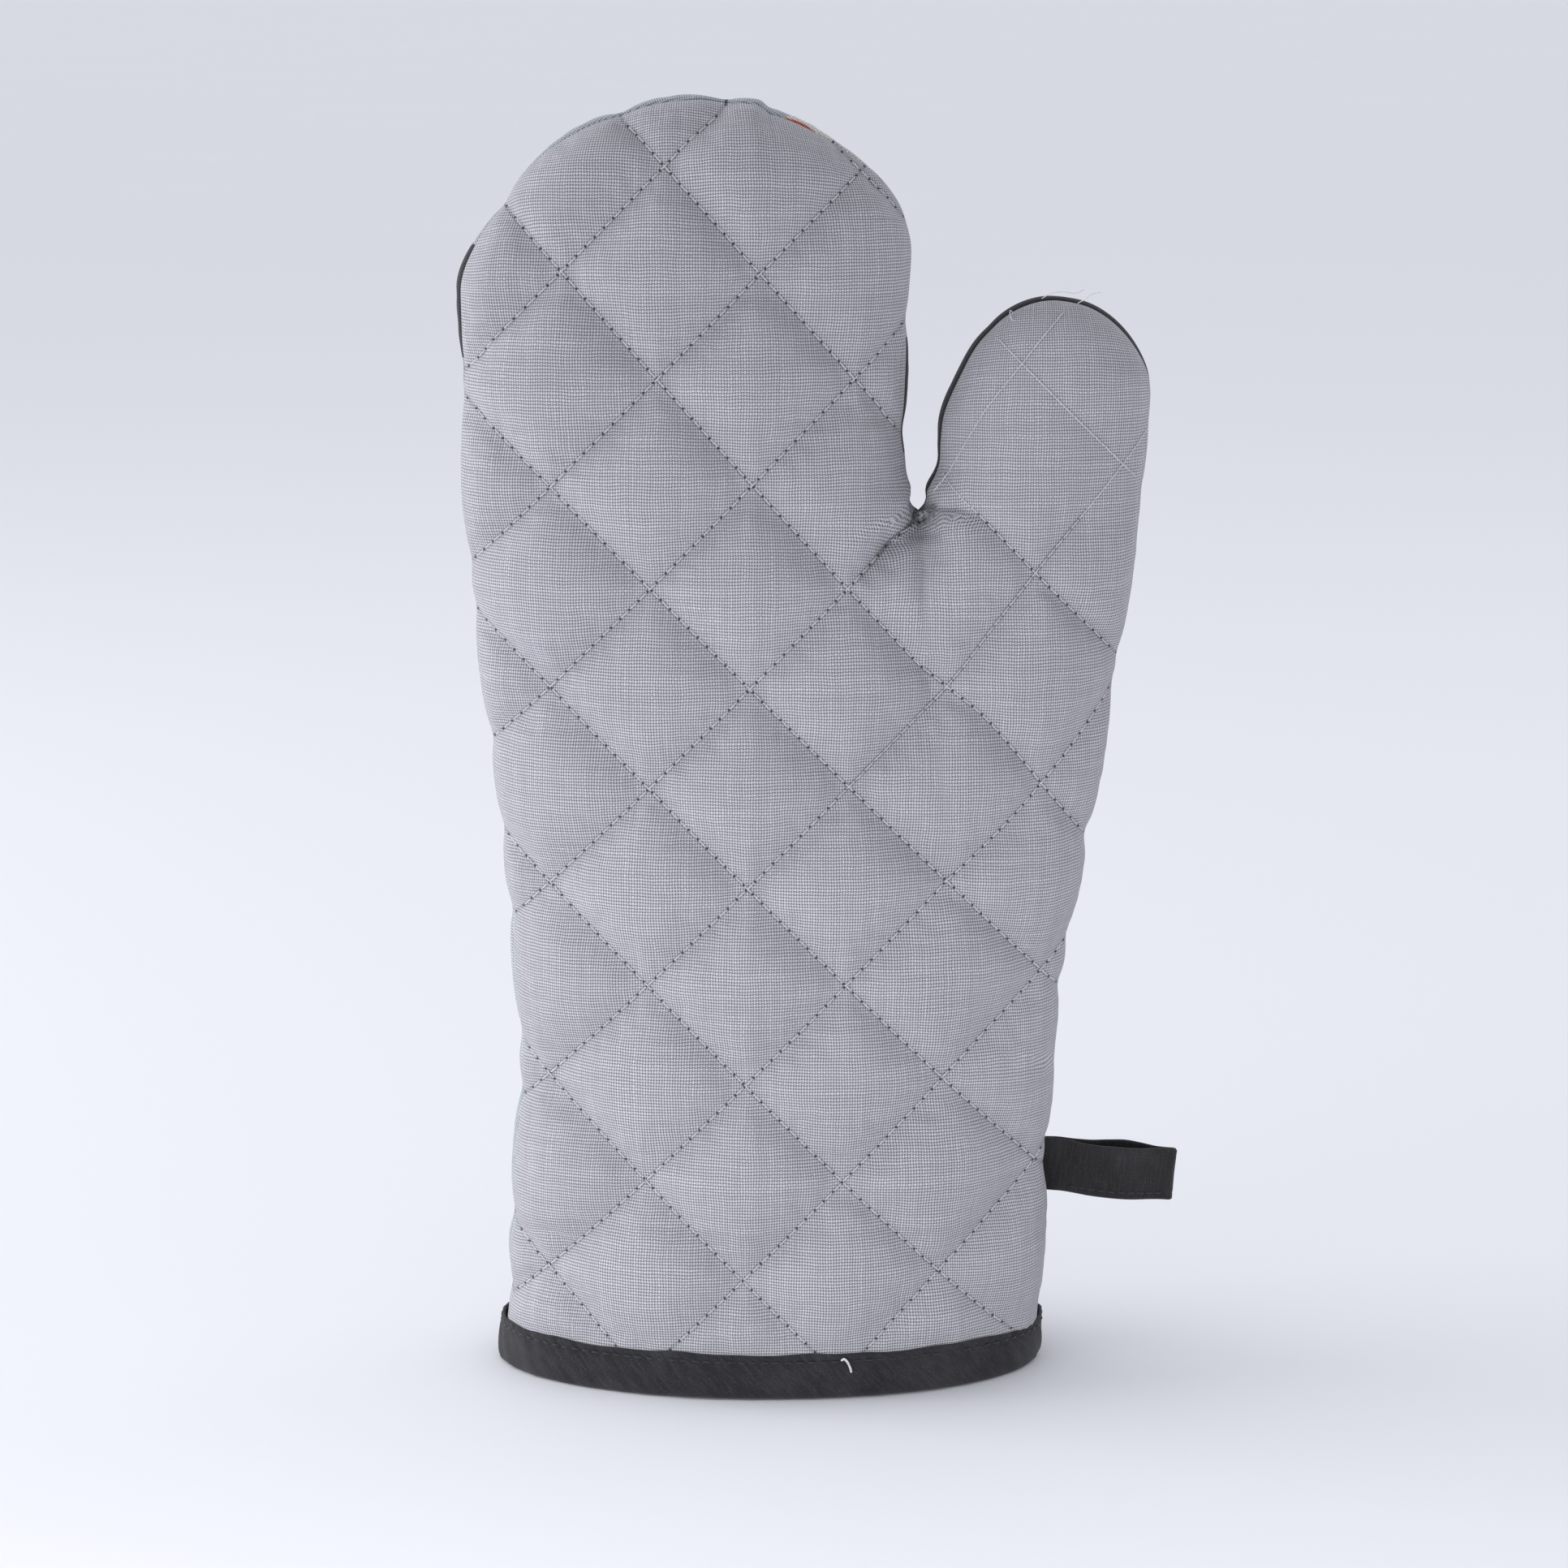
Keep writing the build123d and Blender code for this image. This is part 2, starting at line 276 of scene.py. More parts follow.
class Panel:
    # one quilted side: -1 is the palm, +1 the back of the hand

    def __init__(self, side, inset, steps, edgeStep):
        self.side, self.inset = side, inset
        line = seamLine(edgeStep)
        normal = inwardNormals(line)
        near = line + normal * 2.0
        self.curve = np.maximum(depthAt(near[:, 0], near[:, 1]), 1.0) ** 2 / 2.0
        self.curve[:12] = self.curve[12]
        self.curve[-12:] = self.curve[-13]
        kernel = np.hanning(25) / np.hanning(25).sum()
        self.curve = np.convolve(np.pad(self.curve, 12, mode="edge"), kernel, mode="valid")
        self.shift = np.convolve(np.pad(seamShift(line), 12, mode="edge"), kernel, mode="valid")
        self.line, self.normal = line, normal
        self.edge = line + normal * inset
        self.edge[[0, -1], 1] = mitt["foot"]
        self.build(steps, edgeStep)

    def build(self, steps, edgeStep):
        tree = KDTree(len(self.line))
        for i, point in enumerate(self.line):
            tree.insert((point[0], point[1], 0), i)
        tree.balance()
        self.tree = tree
        flat, foot = [tuple(p) for p in self.edge], mitt["foot"]
        count = len(flat)
        # rings close beside the steep edge
        for off in (0.15, 0.5, 1.1, 2.0, 3.2, 4.7, 6.4) if steps > 10 else (0.3, 1.5, 4.2):
            for point in self.line + self.normal * (self.inset + off):
                gap = tree.find((point[0], point[1], 0))[2]
                if gap > (self.inset + off) * 0.93 and point[1] > foot + edgeStep * 0.7:
                    flat.append(tuple(point))
        # the grid along the rows of quilting
        reach = np.arange(-9 * steps, 12 * steps + 1) / steps
        a, b = np.meshgrid(reach, reach, indexing="ij")
        x, z = fromQuiltCoords(a.ravel(), b.ravel())
        ok = (x > -80) & (x < 100) & (z > foot + edgeStep * 0.6) & (z < 330)
        ok &= depthAt(x, z, self.inset) > 1.0
        for px, pz in zip(x[ok], z[ok]):
            if tree.find((px, pz, 0))[2] > self.inset + 7.6:
                flat.append((px, pz))
        # the foot
        wide = self.edge[-1, 0] - self.edge[0, 0]
        across = int((self.line[-1, 0] - self.line[0, 0]) / edgeStep)
        footPoints = [(self.edge[0, 0] + wide * i / across, foot) for i in range(1, across)]
        outline = list(range(count)) + list(range(len(flat) + across - 2, len(flat) - 1, -1))
        flat += footPoints
        edges = list(zip(outline, outline[1:] + outline[:1]))
        points = [Vector(p) for p in flat]
        points, _, faces, original, _, _ = delaunay_2d_cdt(points, edges, [], 1, 1e-4)
        newIndex = {}
        for i, group in enumerate(original):
            for g in group:
                newIndex[g] = i
        self.loop = [newIndex[i] for i in outline]
        self.rim = self.loop[:count]
        self.flat = np.array([p[:] for p in points])
        self.faces = [tuple(f) if self.side < 0 else tuple(reversed(f)) for f in faces]
        nearest = [tree.find((p[0], p[1], 0)) for p in self.flat]
        self.param = np.array([n[1] for n in nearest])
        self.off = np.array([n[2] for n in nearest])

    def place(self):
        # the flat points on the mitt's form, with the seam rolled towards the palm
        x, z = self.flat[:, 0].copy(), self.flat[:, 1].copy()
        deep = depthAt(x, z, self.inset)
        deep[self.rim] = 0
        y = self.side * deep
        shift = self.shift[self.param] * np.exp(-(deep / 9.0) ** 2)
        moved = y - shift
        bow = (moved ** 2 - y ** 2) / self.curve[self.param]
        bow = np.clip(bow, -self.off, 6) * (1 - smoothStep(self.off, 3, 10))
        normal = self.normal[self.param]
        return np.stack([x + normal[:, 0] * bow, moved, z + normal[:, 1] * bow], axis=1)

    def weaveCoords(self):
        # the cloth laid flat again: near the seam its arc length is longer than it looks from the front
        bend = np.maximum(self.curve[self.param] / 4, 0.5)
        arc = lambda e: np.sqrt(e * (e + bend)) + bend * np.arcsinh(np.sqrt(e / bend))
        e = np.clip(self.off, 0, 25)
        spare = (arc(np.full(len(e), 25.0)) - 25) - (arc(e) - e)
        return self.flat - self.normal[self.param] * spare[:, None]


def meshObject(name, points, faces):
    mesh = bpy.data.meshes.new(name)
    mesh.from_pydata([tuple(p) for p in points], [], faces)
    mesh.update()
    obj = bpy.data.objects.new(name, mesh)
    bpy.context.scene.collection.objects.link(obj)
    return obj


def only(obj):
    for o in bpy.context.selected_objects:
        o.select_set(False)
    obj.select_set(True)
    bpy.context.view_layer.objects.active = obj


def vertexArray(mesh):
    co = np.empty(len(mesh.vertices) * 3, np.float32)
    mesh.vertices.foreach_get("co", co)
    return co.reshape(-1, 3).astype(float)


def setVertices(mesh, points):
    mesh.vertices.foreach_set("co", np.asarray(points, np.float32).ravel())
    mesh.update()


def normalsOf(mesh):
    out = np.empty(len(mesh.vertices) * 3, np.float32)
    mesh.vertices.foreach_get("normal", out)
    return out.reshape(-1, 3).astype(float)


def toFold(x, z, path):
    # how far each point is from a fold, and how far along the fold it lies
    nearest, share = np.full(x.shape, 1e9), np.zeros(x.shape)
    for i, ((ax, az), (bx, bz)) in enumerate(zip(path, path[1:])):
        t = np.clip(((x - ax) * (bx - ax) + (z - az) * (bz - az)) / ((bx - ax) ** 2 + (bz - az) ** 2), 0, 1)
        aside = np.hypot(x - ax - t * (bx - ax), z - az - t * (bz - az))
        share = np.where(aside < nearest, (i + t) / (len(path) - 1), share)
        nearest = np.minimum(nearest, aside)
    return nearest, share


def thumbCalm(x, z):
    # the thumb is stuffed tighter, so its rows hardly sink in
    return 1 - 0.75 * smoothStep(x, 40, 50) * smoothStep(z, 212, 238)


def puffed(panel, points, height, valley):
    # the cells of the quilting swell, the rows and the seam lie deep
    x, z = panel.flat[:, 0], panel.flat[:, 1]
    a, b = quiltCoords(x, z)
    soft = lambda d: np.sqrt(d * d + 0.6) - 0.77
    toFalling = soft((a - np.round(a)) * quilt["fallingSpacing"])
    toRising = soft((b - np.round(b)) * quilt["risingSpacing"])
    seamY = -panel.shift[panel.param]
    fromSeam = np.hypot(panel.off, points[:, 1] - seamY)
    cell = (1 - np.exp(-toFalling / 3.6)) * (1 - np.exp(-toRising / 3.6))
    cell *= 0.72 + 0.28 * (1 - np.exp(-toFalling / 12)) * (1 - np.exp(-toRising / 12)) / 0.75
    nearRow = np.exp(-(np.minimum(toFalling, toRising) / 2.2) ** 2)
    low = smoothStep(z, quilt["bindingTop"], quilt["bindingTop"] + 12)
    away = 1 - np.exp(-fromSeam / 7.0)
    calm = thumbCalm(x, z)
    level = cell * calm + 0.55 * (1 - calm)
    rise = height * level * away * low - valley * (1 - cell) * away * low * calm
    rise -= quilt["pinch"] * np.exp(-fromSeam / 3.5) * (0.3 + 0.7 * low)
    rise -= 0.5 * nearRow * np.exp(-fromSeam / 5.0) * low * calm
    # spare width on the little-finger side
    rise += 1.7 * (x < 0) * smoothStep(z, 12, 36) * np.exp(-fromSeam / 20.0)
    for fold in folds:
        aside, along = toFold(x, z, fold["path"])
        deep, wide = fold["deep"], fold["wide"]
        hollow = deep * (1 - along) ** 0.5 * np.exp(-(aside / wide) ** 2)
        bank = 0.35 * deep * (1 - along) * np.exp(-((aside - 2.6 * wide) / (1.6 * wide)) ** 2)
        rise -= hollow * (1 - np.exp(-(fromSeam / 3.0) ** 2))
        rise += bank * away
    return rise


def outwardFrom(panel, points):
    # the way the cloth swells: square to the form, and in the seam's plane beside the seam
    mesh = bpy.data.meshes.new("form")
    mesh.from_pydata([tuple(p) for p in points], [], panel.faces)
    mesh.update()
    square = normalsOf(mesh)
    bpy.data.meshes.remove(mesh)
    seamY = -panel.shift[panel.param]
    fromSeam = np.hypot(panel.off, points[:, 1] - seamY)
    w = np.exp(-fromSeam / 3.0)[:, None]
    w[panel.rim] = 1
    inward = panel.normal[panel.param]
    flatWay = np.stack([-inward[:, 0], np.zeros(len(points)), -inward[:, 1]], axis=1)
    foot = panel.flat[:, 1] < mitt["foot"] + 0.4
    square[foot, 2] = 0
    mixed = square * (1 - w) + flatWay * w
    return mixed / np.maximum(np.linalg.norm(mixed, axis=1), 1e-6)[:, None]


# How the outer cloth behaves while it swells
clothSettings = dict(
    quality=6,
    mass=0.25,
    air_damping=4.0,
    tension_stiffness=22,
    compression_stiffness=22,
    shear_stiffness=8,
    bending_stiffness=0.6,
    vertex_group_mass="held",
    pin_stiffness=1.0,
    use_pressure=True,
    uniform_pressure_force=quilt["pressure"],
    shrink_min=-quilt["slack"],
)


def billow(obj, panel, start, ways):
    # let Blender's cloth swell between the rows, on a mesh ten times as large
    scale = 10 * mm
    setVertices(obj.data, start * scale)
    a, b = quiltCoords(panel.flat[:, 0], panel.flat[:, 1])
    toRow = np.minimum(np.abs(a - np.round(a)) * quilt["fallingSpacing"],
                       np.abs(b - np.round(b)) * quilt["risingSpacing"])
    held = (toRow < 0.55) | (panel.flat[:, 1] < quilt["bindingTop"] + 1) | (panel.off < 0.6)
    group = obj.vertex_groups.new(name="held")
    group.add([int(i) for i in np.where(held)[0]], 1.0, "REPLACE")
    only(obj)
    cloth = obj.modifiers.new("Cloth", "CLOTH")
    for key, value in clothSettings.items():
        setattr(cloth.settings, key, value)
    cloth.settings.effector_weights.gravity = 0.0
    cloth.collision_settings.use_collision = False
    cloth.collision_settings.use_self_collision = False
    cloth.point_cache.frame_start = 1
    cloth.point_cache.frame_end = quilt["frames"]
    for frameNumber in range(1, quilt["frames"] + 1):
        bpy.context.scene.frame_set(frameNumber)
    bpy.ops.object.modifier_apply(modifier="Cloth")
    bpy.context.scene.frame_set(1)
    obj.vertex_groups.clear()
    grown = vertexArray(obj.data) / scale
    grown = np.where(np.isfinite(grown), grown, start)
    move = grown - start
    length = np.linalg.norm(move, axis=1)
    move *= (np.minimum(length, quilt["cap"]) / np.maximum(length, 1e-9))[:, None]
    out = np.sum(move * ways, axis=1)
    print(obj.name, "swelled by", round(float(np.percentile(out, 5)), 2), round(float(out.mean()), 2),
          round(float(np.percentile(out, 99)), 2), "mm, furthest", round(float(length.max()), 2))
    return start + move * thumbCalm(panel.flat[:, 0], panel.flat[:, 1])[:, None]


def joinedShell(name, outer, inner, panel, innerPanel, uvs):
    # an outer and an inner skin closed along the seam and the foot, with cloth and quilting coordinates
    points = np.concatenate([outer, inner])
    shift = len(outer)
    faces = list(panel.faces) + [tuple(shift + i for i in reversed(face)) for face in innerPanel.faces]
    a, b = panel.loop, [shift + i for i in innerPanel.loop]
    for i in range(len(a)):
        j = (i + 1) % len(a)
        quad = (a[i], a[j], b[j], b[i])
        faces.append(quad if panel.side < 0 else tuple(reversed(quad)))
    obj = meshObject(name, points * mm, faces)
    corner = np.empty(len(obj.data.loops), int)
    obj.data.loops.foreach_get("vertex_index", corner)
    for layerName, values in zip(("weave", "rows"), uvs):
        layer = obj.data.uv_layers.new(name=layerName)
        layer.data.foreach_set("uv", (values[corner] / 100).astype(np.float32).ravel())
    bm = bmesh.new()
    bm.from_mesh(obj.data)
    triangles = [f for f in bm.faces if len(f.verts) == 3]
    bmesh.ops.join_triangles(bm, faces=triangles, angle_face_threshold=0.9, angle_shape_threshold=0.9)
    bm.to_mesh(obj.data)
    bm.free()
    only(obj)
    rounder = obj.modifiers.new("Subdivision", "SUBSURF")
    rounder.levels = rounder.render_levels = 1
    bpy.ops.object.modifier_apply(modifier="Subdivision")
    obj.data.shade_smooth()
    return obj


def bothCoords(panel):
    a, b = quiltCoords(panel.flat[:, 0], panel.flat[:, 1])
    return panel.weaveCoords(), np.stack([a * quilt["fallingSpacing"], b * quilt["risingSpacing"]], axis=1)


class Skin:
    # finds places on a finished panel from where they lie in the flat cloth

    def __init__(self, panel, points, obj):
        self.panel, self.points = panel, points
        self.flatTree = BVHTree.FromPolygons([(p[0], 0, p[1]) for p in panel.flat], panel.faces)
        self.seamTree = panel.tree
        final = vertexArray(obj.data) / mm
        faces = [tuple(f.vertices) for f in obj.data.polygons]
        self.tree = BVHTree.FromPolygons([tuple(p) for p in final], faces)

    def flatGap(self, x, z):
        return self.seamTree.find((x, z, 0))[2]

    def at(self, x, z):
        # the place and the outward way, or nothing outside the cloth
        _, _, index, gap = self.flatTree.find_nearest(Vector((x, 0, z)))
        if gap > 0.01:
            return None
        face = self.panel.faces[index]
        corners = [Vector((self.panel.flat[i][0], 0, self.panel.flat[i][1])) for i in face]
        weights = poly_3d_calc(corners, Vector((x, 0, z)))
        rough = sum((Vector(self.points[i]) * w for i, w in zip(face, weights)), Vector())
        spot, way, _, _ = self.tree.find_nearest(rough)
        return np.array(spot), np.array(way)


def makeQuilt(name, side):
    # one side of the mitt: cloth over wadding, swollen between its rows
    panel = Panel(side, 0.0, quilt["stepsPerCell"], quilt["edgeStep"])
    form = panel.place()
    ways = outwardFrom(panel, form)
    start = form + ways * puffed(panel, form, quilt["puff"], quilt["valley"])[:, None]
    sheet = meshObject(name + "Sheet", start * mm, panel.faces)
    points = billow(sheet, panel, start, ways)
    bpy.data.objects.remove(sheet)
    points[panel.rim, 1] = -panel.shift[panel.param[panel.rim]] + side * 0.12
    inner = Panel(side, 4.9, 5, quilt["edgeStep"])
    behind = inner.place()
    behind[inner.rim, 1] = -inner.shift[inner.param[inner.rim]] + side * 0.7
    front, back = bothCoords(panel), bothCoords(inner)
    uvs = [np.concatenate([f, b]) for f, b in zip(front, back)]
    obj = joinedShell(name, points, behind, panel, inner, uvs)
    print(name, len(obj.data.vertices), "points")
    return obj, Skin(panel, points, obj)


def makeLining(name, side):
    # the thin inner cloth, quilted with the rest
    panel = Panel(side, 5.4, 10, quilt["edgeStep"])
    form = panel.place()
    form[panel.rim, 1] = -panel.shift[panel.param[panel.rim]] + side * 0.9
    ways = outwardFrom(panel, form)
    lift = puffed(panel, form, 1.6, 0.0)
    lift = np.clip(lift, 0, 2)
    outer = form + ways * (0.3 - lift)[:, None]
    inner = form - ways * (0.3 + lift)[:, None]
    uvs = [np.concatenate([c, c]) for c in bothCoords(panel)]
    obj = joinedShell(name, outer, inner, panel, panel, uvs)
    return obj, Skin(panel, inner, obj)


stitchForm = dict(
    needle=dict(radius=0.17, lift=0.16, sink=0.42, share=0.94),
    bobbin=dict(radius=0.17, lift=0.16, sink=0.35, share=0.94),
    loose=dict(radius=0.15, lift=0.30, sink=0.02, share=1.04),
    binding=dict(radius=0.26, lift=0.22, sink=0.40, share=0.80),
)


def tubeFaces(count, sides):
    # the walls and the two ends of a tube of rings
    faces = []
    for i in range(count - 1):
        for j in range(sides):
            k = (j + 1) % sides
            faces.append((i * sides + j, i * sides + k, (i + 1) * sides + k, (i + 1) * sides + j))
    return faces + [tuple(reversed(range(sides))), tuple((count - 1) * sides + j for j in range(sides))]


def stitches(spans, kind):
    # small arched threads, each from one needle hole to the next
    look = stitchForm[kind]
    a, b, up = (np.array([s[i] for s in spans], float) for i in range(3))
    middle, along = (a + b) / 2, b - a
    length = np.linalg.norm(along, axis=1)[:, None]
    along = along / length
    up = up - along * np.sum(up * along, axis=1)[:, None]
    up = up / np.maximum(np.linalg.norm(up, axis=1)[:, None], 1e-6)
    across = np.cross(along, up)
    sides = 6
    turns = np.arange(sides) * 2 * math.pi / sides
    stations = [(-0.5, -look["sink"], 0.55), (-0.36, look["lift"] * 0.55, 1.0), (0.0, look["lift"], 1.08),
                (0.36, look["lift"] * 0.55, 1.0), (0.5, -look["sink"], 0.55)]
    rings = []
    for t, height, wide in stations:
        centre = middle + along * (t * length * look["share"]) + up * height
        r = look["radius"] * wide
        ring = [centre + across * (r * math.cos(q)) + up * (r * math.sin(q)) for q in turns]
        rings.append(np.stack(ring, axis=1))
    points = np.stack(rings, axis=1).reshape(-1, 3)
    each = tubeFaces(len(stations), sides)
    size = sides * len(stations)
    faces = [tuple(n * size + i for i in face) for n in range(len(spans)) for face in each]
    return points, faces


def turnedOut(obj):
    bm = bmesh.new()
    bm.from_mesh(obj.data)
    bmesh.ops.recalc_face_normals(bm, faces=bm.faces[:])
    bm.to_mesh(obj.data)
    bm.free()
    obj.data.shade_smooth()


def joinedMesh(name, groups):
    points, faces, count = [], [], 0
    for p, f in groups:
        points.append(p)
        faces += [tuple(i + count for i in face) for face in f]
        count += len(p)
    obj = meshObject(name, np.concatenate(points) * mm, faces)
    turnedOut(obj)
    return obj


def rowOfStitches(skin, direction, number):
    # the stitches of one row, from the needle holes that lie on the cloth
    other = quilt["risingSpacing"] if direction == "falling" else quilt["fallingSpacing"]
    first, last = math.ceil(-9 * other / quilt["stitch"]), int(13 * other / quilt["stitch"])
    holes = np.arange(first, last) * quilt["stitch"] / other
    fixed = np.full(len(holes), float(number))
    x, z = fromQuiltCoords(fixed, holes) if direction == "falling" else fromQuiltCoords(holes, fixed)
    run, runs = [], []
    for px, pz in zip(x, z):
        found = skin.at(px, pz) if (pz > quilt["bindingTop"] + 2.0 and -80 < px < 100 and pz < 331) else None
        if found is None or skin.flatGap(px, pz) < skin.panel.inset + 1.2:
            if len(run) > 3:
                runs.append(run)
            run = []
        else:
            run.append((found[0], found[1], px, pz))
    if len(run) > 3:
        runs.append(run)
    spans = []
    for run in runs:
        spans += [(a[0], b[0], a[1] + b[1], a[2], a[3]) for a, b in zip(run, run[1:])]
    return spans


def makeRows(name, skin, direction, kind, slackRow=None):
    tight, slack = [], []
    for number in range(-8, 12):
        for span in rowOfStitches(skin, direction, number):
            onThumb = kind == "needle" and span[3] > 42 and span[4] > 228
            (slack if onThumb or (number == slackRow and span[3] > 18) else tight).append(span)
    groups = [stitches(tight, kind)]
    if slack:
        groups.append(stitches(slack, "loose"))
    print(name, len(tight) + len(slack), "stitches")
    return joinedMesh(name, groups)


def sweep(name, rings, closed, along, across):
    # rings of points joined into one closed skin, with its cloth coordinates in mm
    rings = np.array(rings, float)
    count, sides = rings.shape[:2]
    faces, uvs = [], []
    for i in range(count if closed else count - 1):
        for j in range(sides):
            k, n = (j + 1) % sides, (i + 1) % count
            faces.append((i * sides + j, i * sides + k, n * sides + k, n * sides + j))
            uvs += [(along[i], across[j]), (along[i], across[j + 1])]
            uvs += [(along[i + 1], across[j + 1]), (along[i + 1], across[j])]
    if not closed:
        faces += [tuple(reversed(range(sides))), tuple((count - 1) * sides + j for j in range(sides))]
        uvs += [(along[0], across[j]) for j in reversed(range(sides))]
        uvs += [(along[-1], across[j]) for j in range(sides)]
    obj = meshObject(name, rings.reshape(-1, 3) * mm, faces)
    layer = obj.data.uv_layers.new(name="weave")
    layer.data.foreach_set("uv", (np.array(uvs, float) / 100).astype(np.float32).ravel())
    turnedOut(obj)
    return obj


def threadTube(line, radius, sides=6, up=(0.0, -1.0, 0.0)):
    # a round thread along a line of points
    line = np.array(line, float)
    ahead = unit(np.gradient(line, axis=0))
    first = np.cross(ahead, np.array(up))
    first /= np.maximum(np.linalg.norm(first, axis=1)[:, None], 1e-6)
    second = np.cross(ahead, first)
    turns = np.arange(sides) * 2 * math.pi / sides
    rings = np.stack([line + (first * math.cos(q) + second * math.sin(q)) * radius for q in turns], axis=1)
    return rings.reshape(-1, 3), tubeFaces(len(line), sides)


# The bias binding of the cuff, in mm
binding = dict(
    step=0.9,                 # length of tape from one station to the next
    stitchHeight=10.2,
    stitch=3.0,
    joinX=13.0,               # where the two ends of the tape were joined
    joinLean=0.75,
    pucker=0.16,
)


def cuffOval(z, grow, turns):
    # a line round the cuff at one height, grown outwards
    middle, wide, deep = ovalAt("hand", np.array([float(max(z, 0.0))]))
    x, y = middle[0] + (wide[0] + grow) * np.cos(turns), (deep[0] + grow) * np.sin(turns)
    return np.stack([x, y, np.full(len(turns), float(z))], axis=1)


def evenTurns(step):
    # angles that divide the cuff's outline evenly, starting at the thumb side and passing the back first
    fine = np.linspace(0, 2 * math.pi, 4001)
    run = runAlong(cuffOval(6.0, 1.0, fine))
    count = int(run[-1] / step)
    at = np.linspace(0, run[-1], count + 1)
    return np.interp(at[:-1], run, fine), at


def makeBinding():
    turns, run = evenTurns(binding["step"])
    # the tape's section: how far outside the cloth and how high, from the outer top edge down and round
    section = [(0.45, 12.0), (0.95, 11.9), (1.22, 11.5), (1.24, 10.9), (1.02, 10.2), (1.2, 9.4),
               (1.36, 8.2), (1.45, 6.6), (1.48, 5.0), (1.44, 3.4), (1.32, 2.0), (0.95, 0.9),
               (0.2, 0.25), (-0.9, 0.0), (-2.2, 0.0), (-3.6, 0.0), (-4.9, 0.05), (-5.9, 0.3),
               (-6.6, 0.9), (-7.0, 2.0), (-7.15, 3.6), (-7.2, 5.4), (-7.15, 7.4), (-7.0, 9.2),
               (-6.8, 10.2), (-7.0, 10.9), (-6.95, 11.6), (-6.6, 12.0), (-6.25, 11.8), (-6.05, 10.8),
               (-6.05, 8.0), (-6.05, 5.0), (-6.0, 2.6), (-5.4, 1.4), (-2.8, 1.15), (-0.4, 1.4),
               (0.05, 2.6), (0.1, 5.0), (0.1, 8.0), (0.15, 10.8)]
    section = np.array(section)
    across = runAlong(np.concatenate([section, section[:1]]))
    length = run[-1]
    s = run[:-1][:, None]
    high = section[:, 1][None, :]
    skinPart = ((section[:, 0] > 0.5) | (section[:, 0] < -6.3))[None, :]
    beat = 2 * math.pi * np.round(length / binding["stitch"]) / length
    wave = lambda count, phase, lean: np.sin(2 * math.pi * count * s / length + phase + lean * high)
    ripple = binding["pucker"] * np.cos(beat * s) * np.exp(-((high - 11.2) / 1.6) ** 2)
    ripple += (0.10 * wave(41, 0.4, 0.55) + 0.08 * wave(67, 2.1, 0.7)
               + 0.07 * wave(23, 1.0, 0.4) + 0.16 * wave(6, 0.3, 0.0))
    # the join: a low ridge that leans across the tape on the palm side
    line = cuffOval(6.0, 1.0, turns)
    frontX = np.where(line[:, 1] < 0, line[:, 0], -500)[:, None]
    toJoin = frontX - (binding["joinX"] - (high - 6) * binding["joinLean"])
    ripple += 0.28 * np.exp(-((toJoin - 1.1) / 0.9) ** 2) - 0.55 * np.exp(-(toJoin / 0.45) ** 2)
    ripple *= skinPart
    topWave = 0.22 * wave(9, 1.0, 0.0) + 0.14 * wave(21, 0.0, 0.0)
    lift = topWave * smoothStep(high, 9.5, 12.0)
    rings = []
    for i, turn in enumerate(turns):
        middle, wide, deep = ovalAt("hand", np.clip(section[:, 1], 0, None))
        grow = section[:, 0] + ripple[i] * np.where(section[:, 0] > 0, 1, -1)
        x, y = middle + (wide + grow) * math.cos(turn), (deep + grow) * math.sin(turn)
        rings.append(np.stack([x, y, section[:, 1] + lift[i]], axis=1))
    obj = sweep("cuffBinding", rings, True, run, across)
    spans = []
    count = int(np.round(length / binding["stitch"]))
    at = np.interp(np.arange(count + 1) * length / count, run, np.append(turns, 2 * math.pi))
    _, wide, deep = (float(v[0]) for v in ovalAt("hand", np.array([binding["stitchHeight"]])))
    for grow, way in ((1.06, 1), (-6.86, -1)):
        p = cuffOval(binding["stitchHeight"], grow, at)
        out = np.stack([np.cos(at) * deep, np.sin(at) * wide, np.zeros(len(at))], axis=1) * way
        spans += [(p[i], p[i + 1], (out[i] + out[i + 1]) / 2) for i in range(count)]
    rows = joinedMesh("bindingStitches", [stitches(spans, "binding")])
    return obj, rows


# The hanging loop, in mm, in its own frame: out from the seam, across, and up
loop = dict(
    hinge=(76.765, 0.0, 45.5),
    droop=math.radians(5),
    length=31.0,
    width=14.0,
    thick=1.15,
    eye=2.9,                  # half of the opening between the two layers
    rootIn=4.5,
    stitchUp=1.9,
    stitch=2.6,
)


def loopPlace(points):
    points = np.asarray(points, float)
    c, s = math.cos(loop["droop"]), math.sin(loop["droop"])
    x, y, z = points[..., 0], points[..., 1], points[..., 2]
    h = loop["hinge"]
    return np.stack([h[0] + x * c + z * s, h[1] + y, h[2] - x * s + z * c], axis=-1)


def loopLine(spread, step):
    # the folded strip seen from above, from one end in the seam round the fold and back
    half = loop["thick"] / 2 + 0.04
    end = loop["length"] - 2 * half
    out = np.linspace(-loop["rootIn"], end, 160)
    open_ = np.sin(np.clip((out - 1.0) / (end - 1.5), 0, 1) * math.pi) ** 1.3
    y = half + (spread - half + loop["thick"] / 2) * open_
    near = np.stack([out, -y * (1.0 + 0.12 * open_)], axis=1)
    turn = np.linspace(-math.pi / 2, math.pi / 2, 14)[1:-1]
    bend = np.stack([end + half * 1.3 * np.cos(turn), half * np.sin(turn)], axis=1)
    far = np.stack([out[::-1], y[::-1] * 0.9], axis=1)
    return evenly(np.concatenate([near, bend, far]), step)


